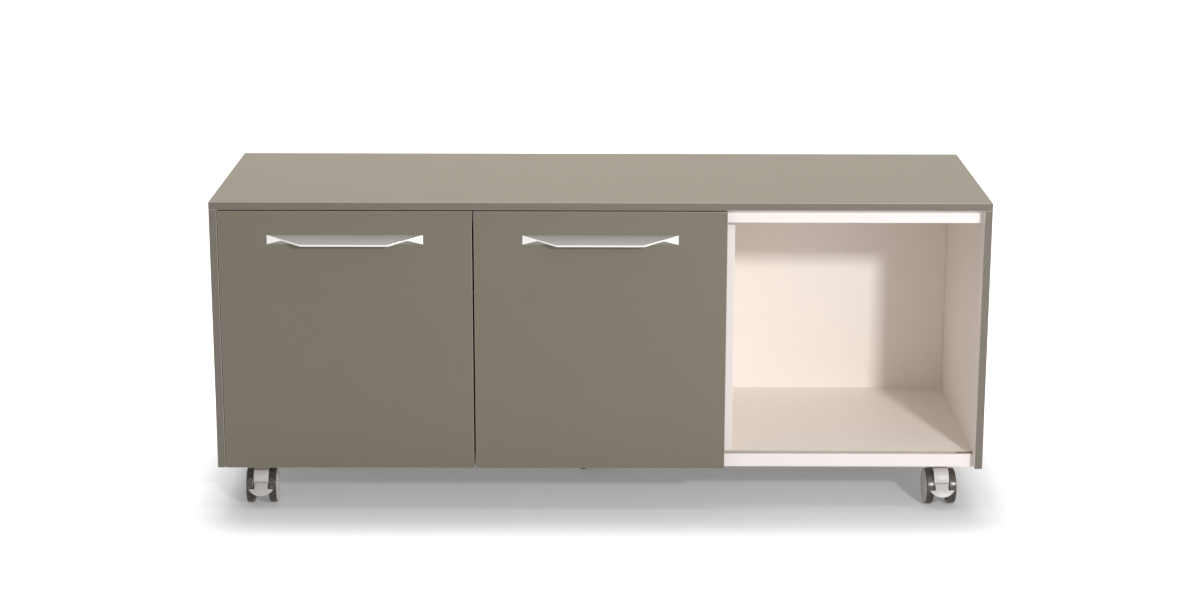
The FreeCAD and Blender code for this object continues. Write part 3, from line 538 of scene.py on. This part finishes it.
def bored(shape, seats, radius, depth):
    """The board with a round seat cut into its back face at each place."""
    cutter = bmesh.new()
    for seat in seats:
        place = Matrix.Translation(seat) @ Matrix.Rotation(math.pi / 2, 4, "X")
        bmesh.ops.create_cone(
            cutter, cap_ends=True, segments=32, radius1=radius, radius2=radius, depth=2 * depth, matrix=place
        )
    things = []
    for part in (shape, cutter):
        mesh = bpy.data.meshes.new("bored")
        part.to_mesh(mesh)
        part.free()
        things.append(bpy.data.objects.new("bored", mesh))
        bpy.context.scene.collection.objects.link(things[-1])
    cut = things[0].modifiers.new("seats", "BOOLEAN")
    cut.operation = "DIFFERENCE"
    cut.object = things[1]
    cut.solver = "EXACT"
    ready = things[0].evaluated_get(bpy.context.evaluated_depsgraph_get())
    whole = bpy.data.meshes.new_from_object(ready)
    for thing in things:
        bpy.data.objects.remove(thing)
    done = bmesh.new()
    done.from_mesh(whole)
    bpy.data.meshes.remove(whole)
    return done


small_head, small_shank = (0.0032, 0.002), 0.00175
seat_play = 0.0001
front_skin, back_skin = 0.001, 0.0001
back_low, back_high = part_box("back_panel")
seats = [
    Vector(((low.x + high.x) / 2, back_high.y, (low.z + high.z) / 2))
    for low, high in solids("back_screws")
]
back = bored(panel("back_panel"), seats, small_head[0] + seat_play, small_head[1])
back_finishes = (white_melamine, white_edge, raw_board)
for face in back.faces:
    centre = face.calc_center_median()
    within = back_low.y + front_skin < centre.y < back_high.y - back_skin
    near_seat = min((centre - seat).length for seat in seats) < 2 * small_head[0]
    if within and near_seat:
        chosen = raw_board
    elif abs(face.normal.y) > square_on:
        chosen = white_melamine
    else:
        chosen = white_edge
    face.material_index = back_finishes.index(chosen)
finished("back_board", back, back_finishes, "back_panel")
screw_set("back_screws", (0, 1, 0), small_head, small_shank)
screw_set("caster_screws", (0, 0, -1), (0.0042, 0.0026), 0.00225)

# ------------------------------------------------------------------ doors
# Two flat doors of 18 mm board, warm grey in front and off-white behind, banded all round. Each
# hangs on two rollers below and two guide pegs above, and slides along the tracks.

door_melamine = melamine("door_melamine", (0.158, 0.138, 0.104), 0.48)
# The doors' edge band is near black: painted shade that darkens the gaps round the doors.
painted_shade_door_edge = edge_band("door_edge_band_painted_shade", (0.070, 0.062, 0.051), 0.42)
for side in ("left", "right"):
    board(f"{side}_door_panel", (0, -1, 0), door_melamine, white_melamine, painted_shade_door_edge, grey_corner_painted_highlight)

# ------------------------------------------------------------------ handles
# One satin anodised aluminium extrusion per door: a root on the door, a blade that slopes down to
# a thin lip, and both ends sawn slanting. Two screws hold it from behind the door.

aluminium = Finish("satin_aluminium")
drawing = aluminium.noise(1900, 3, 0.6, stretch=(0.02, 1, 1))
broad = aluminium.noise(260, 2, stretch=(0.03, 1, 1))
haze = aluminium.noise(30, 4, 0.6)
metal = aluminium.mix(
    0.5 + (drawing - 0.5) * 1.2 + (broad - 0.5) * 0.8, (0.56, 0.54, 0.525), (0.74, 0.72, 0.705)
)
aluminium.shade(
    metal, 0.40 + (haze - 0.5) * 0.12 + (drawing - 0.5) * 0.1, Metallic=1.0,
    Normal=aluminium.bump(drawing + broad * 0.6, 0.00003, 0.4),
)
door_face = -237.5
handle_section = [(door_face, 593.5), (-262.5, 578.5), (-262.5, 575), (-248.5, 584.2), (door_face, 574)]
handle_reach, slanted_end = 25, 70.5
mitre = slanted_end / handle_reach
for side in ("left", "right"):
    node = f"{side}_door_handle"
    low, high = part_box(node)
    ends = [
        [(end + way * mitre * (door_face - y) / 1000, y / 1000, z / 1000) for y, z in handle_section]
        for way, end in ((1, low.x), (-1, high.x))
    ]
    finished(f"{side}_bow_handle", prism(ends, 0.0003), (aluminium,), node)

# ------------------------------------------------------------------ running gear of the doors
# Zinc-plated carriers and nylon guides are screwed to the back of each door; nylon rollers turn on
# the carriers' riveted pins.

nylon = moulded("nylon", (0.78, 0.765, 0.72), 0.38, 1100, 0.00003, 0.04)
for side in ("left", "right"):
    eased(f"{side}_roller_carriers", zinc, 0.0002)
    eased(f"{side}_top_guides", nylon, 0.0003)
    for number in (1, 2):
        eased(f"{side}_door_roller_{number}", nylon, 0.0003)
    screw_set(f"{side}_gear_screws", (0, 1, 0), small_head, small_shank)
    screw_set(f"{side}_handle_screws", (0, 1, 0), (0.004, 0.0025), 0.002)

# ------------------------------------------------------------------ casters
# Twin-wheel casters: a square zinc-plated plate with the swivel race, a light grey moulded hood
# between the wheels, and on the front two a pedal that presses on the wheels as a brake.

hood_plastic = moulded("hood_plastic", (0.56, 0.53, 0.51), 0.40, 1300, 0.00004, 0.05)
pedal_plastic = moulded("pedal_plastic", (0.47, 0.455, 0.445), 0.40, 1300, 0.00004, 0.05)
casters = ("front_left", "front_right", "rear_left", "rear_right", "centre")
for caster in casters:
    eased(f"{caster}_caster_plate", zinc, 0.0003)
    eased(f"{caster}_caster_hood", hood_plastic, 0.0004)
    eased(f"{caster}_caster_axle", zinc, 0.0003)
for caster in ("front_left", "front_right"):
    eased(f"{caster}_brake_pedal", pedal_plastic, 0.0006)

# ------------------------------------------------------------------ wheels
# Each wheel is a light grey moulded core, closed outside by a dished cover with a raised rim and a
# hub cap, and a dark soft tread moulded round it. The two wheels of a caster share one axle.

soft_tread = Finish("soft_tread")
skin = soft_tread.noise(1600, 3, 0.6)
patch = soft_tread.noise(210, 5, 0.65)
tread_dust = soft_tread.noise(420, 5, 0.7) > 0.63
tread_spread = 0.30 + (skin - 0.5) * 0.5 + (patch - 0.5) * 1.4
tread_tone = soft_tread.mix(tread_spread, (0.020, 0.015, 0.013), (0.17, 0.137, 0.118))
tread_tone = soft_tread.mix(tread_dust * 0.18, tread_tone, (0.26, 0.22, 0.195))
tread_relief = soft_tread.bump(skin + patch * 0.4, 0.00005, 0.4)
soft_tread.shade(tread_tone, 0.27 + (patch - 0.5) * 0.2, Normal=tread_relief)
core_plastic = moulded("core_plastic", (0.70, 0.675, 0.65), 0.36, 1300, 0.00003, 0.05)
wheel_start, wheel_end = 16.0, 31.5
wheel_radius, core_radius, tread_round = 37.5, 34.75, 2.4


def shoulder(centre_along, start, end):
    """The tread's rounding between two angles, as points along the axle and out from it."""
    steps = 7
    centre_out = wheel_radius - tread_round
    angles = [math.radians(start + (end - start) * i / steps) for i in range(steps + 1)]
    return [
        (centre_along + tread_round * math.cos(a), centre_out + tread_round * math.sin(a)) for a in angles
    ]


tread_outline = [
    (wheel_start, core_radius),
    *shoulder(wheel_start + tread_round, 180, 90),
    *shoulder(wheel_end - tread_round, 90, 0),
    (wheel_end, core_radius),
]
core_outline = [
    (16, 4.05), (16, 8.7), (16.3, 9), (27.8, 9), (27.8, 31.75), (16.4, 31.75), (16.4, core_radius),
    (31.1, core_radius), (31.1, 33.6), (30.9, 33.25), (30.5, 32.1), (30.3, 31.9), (30.3, 30.4),
    (30.05, 30.1), (30.05, 29.3), (30.3, 29), (30.3, 11.2), (30.0, 10.9), (30.0, 10.2), (30.3, 9.9),
    (30.7, 9.5), (30.9, 8.6), (31.0, 6), (31.05, 0), (29.05, 0), (29.05, 4.05),
]


def turned(shape, outline, place):
    """Turns an outline, in millimetres along the axle and out from it, about the axle."""
    steps = 72
    rings = []
    for along_axle, out in outline:
        ring = []
        for step in range(1 if out == 0 else steps):
            angle = math.tau * step / steps
            point = Vector((along_axle, out * math.cos(angle), out * math.sin(angle))) / 1000
            ring.append(shape.verts.new(place @ point))
        rings.append(ring)
    for here, after in zip(rings, rings[1:] + rings[:1]):
        for step in range(steps):
            corners = [
                here[step % len(here)], here[(step + 1) % len(here)],
                after[(step + 1) % len(after)], after[step % len(after)],
            ]
            corners = list(dict.fromkeys(corners))
            if len(corners) > 2:
                shape.faces.new(corners)


def wheel_pair(name, outline, place, finish, node):
    """The outline turned at both ends of the axle, smooth except at its corners."""
    shape = bmesh.new()
    for side in (1, -1):
        turned(shape, [(side * a, out) for a, out in outline], place)
    bmesh.ops.recalc_face_normals(shape, faces=shape.faces)
    for face in shape.faces:
        face.smooth = True
    for edge in shape.edges:
        edge.smooth = edge.calc_face_angle(0) < math.radians(32)
    finished(name, shape, (finish,), node)


joints = {joint["name"]: joint for joint in frame["joints"]}
for caster in casters:
    spin = joints[f"{caster}_wheels_turn"]
    axle = Vector(spin["axis"]).normalized()
    turn = Vector((1, 0, 0)).rotation_difference(axle).to_matrix().to_4x4()
    place = Matrix.Translation(spin["pos_m"]) @ turn
    wheel_pair(f"{caster}_wheels", core_outline, place, core_plastic, f"{caster}_wheel_cores")
    wheel_pair(f"{caster}_tyres", tread_outline, place, soft_tread, f"{caster}_treads")

# ------------------------------------------------------------------ floor, light and camera
# A plain pale floor that fades to white round the piece, a small key lamp and a wide low strip, both
# in front on the right, a broad soft lamp overhead, an even white surround, and a camera in front of
# the middle that looks down on the top.


def looked_at(shader):
    """1 where a ray makes up the picture or a reflection in it, 0 where it only carries light."""
    camera_ray, glossy_ray, passing_ray = [
        shader.node("ShaderNodeLightPath", output=f"Is {kind} Ray")
        for kind in ("Camera", "Glossy", "Transmission")
    ]
    return shader.sum("MAXIMUM", shader.sum("MAXIMUM", camera_ray, glossy_ray), passing_ray)


floor_paint = Finish("floor_paint")
seen = looked_at(floor_paint)
mottle = floor_paint.noise(3, 3)
paint = floor_paint.mix(mottle, (0.49, 0.49, 0.492), (0.51, 0.51, 0.512))
paint = floor_paint.mix(seen, (0.45, 0.45, 0.45), paint)
shadow_middle, shadow_reach, fade_width = (0.012, 0, 0), (0.74, 0.28, 0), 0.28
near_glow, far_glow = 0.188, 0.812
apart = floor_paint.vector("ABSOLUTE", floor_paint.vector("SUBTRACT", floor_paint.place, shadow_middle))
beyond = floor_paint.vector("MAXIMUM", floor_paint.vector("SUBTRACT", apart, shadow_reach), (0, 0, 0))
away = floor_paint.vector("LENGTH", beyond, output="Value")
far = floor_paint.node(
    "ShaderNodeMapRange", {"interpolation_type": "SMOOTHSTEP"}, {"Value": away, "From Max": fade_width}
)
matt = floor_paint.node("ShaderNodeBsdfDiffuse", sockets={"Color": paint})
glow = floor_paint.node("ShaderNodeEmission", sockets={"Strength": (near_glow + far * far_glow) * seen})
both = floor_paint.node("ShaderNodeAddShader", sockets={0: matt, 1: glow})
floor_paint.node("ShaderNodeOutputMaterial", sockets={"Surface": both}, output=None)
floor_shape = bmesh.new()
bmesh.ops.create_grid(floor_shape, x_segments=2, y_segments=2, size=40)
floor_mesh = bpy.data.meshes.new("floor")
floor_shape.to_mesh(floor_mesh)
floor_shape.free()
floor_mesh.materials.append(floor_paint.material)
floor = bpy.data.objects.new("floor", floor_mesh)
bpy.context.scene.collection.objects.link(floor)


def lamp(name, place, target, size, power, mirrored):
    """An area lamp that points at its target. mirrored says whether glossy surfaces show it."""
    light = bpy.data.lights.new(name, "AREA")
    light.shape = "RECTANGLE"
    light.size, light.size_y = size
    light.energy = power
    made = bpy.data.objects.new(name, light)
    made.location = place
    made.rotation_euler = (Vector(target) - Vector(place)).to_track_quat("-Z", "Y").to_euler()
    made.visible_glossy = mirrored
    bpy.context.scene.collection.objects.link(made)


lamp("key", (1.95, -4.0, 2.2), (0.3, 0, 0.4), (0.32, 0.32), 112, True)
lamp("side_strip", (2.6, -3.8, 0.9), (0, 0, 0.4), (2.4, 1.2), 18, False)
lamp("overhead", (0, 0.7, 3.3), (0, 0.7, 0), (4.2, 2.6), 132, False)

world = bpy.data.worlds.new("studio")
bpy.context.scene.world = world
sky = Shader(world)
unseen_strength, seen_strength = 0.5, 1.0
strength = sky.node(
    "ShaderNodeMapRange",
    sockets={"Value": looked_at(sky), "To Min": unseen_strength, "To Max": seen_strength},
)
surround = sky.node("ShaderNodeBackground", sockets={"Color": (1, 1, 1, 1), "Strength": strength})
sky.node("ShaderNodeOutputWorld", sockets={"Surface": surround}, output=None)

sight = bpy.data.cameras.new("camera")
sight.lens = 69.32
sight.sensor_width = 36
sight.shift_y = -0.06
camera = bpy.data.objects.new("camera", sight)
look_down, roll = 0.2341, 0.002
stand = Matrix.Translation((-0.0012, -4.8270, 1.7038))
tilt = Matrix.Rotation(math.radians(90) - look_down, 4, "X")
camera.matrix_world = stand @ tilt @ Matrix.Rotation(roll, 4, "Z")
bpy.context.scene.collection.objects.link(camera)
bpy.context.scene.camera = camera
bpy.context.scene.view_settings.view_transform = "Standard"
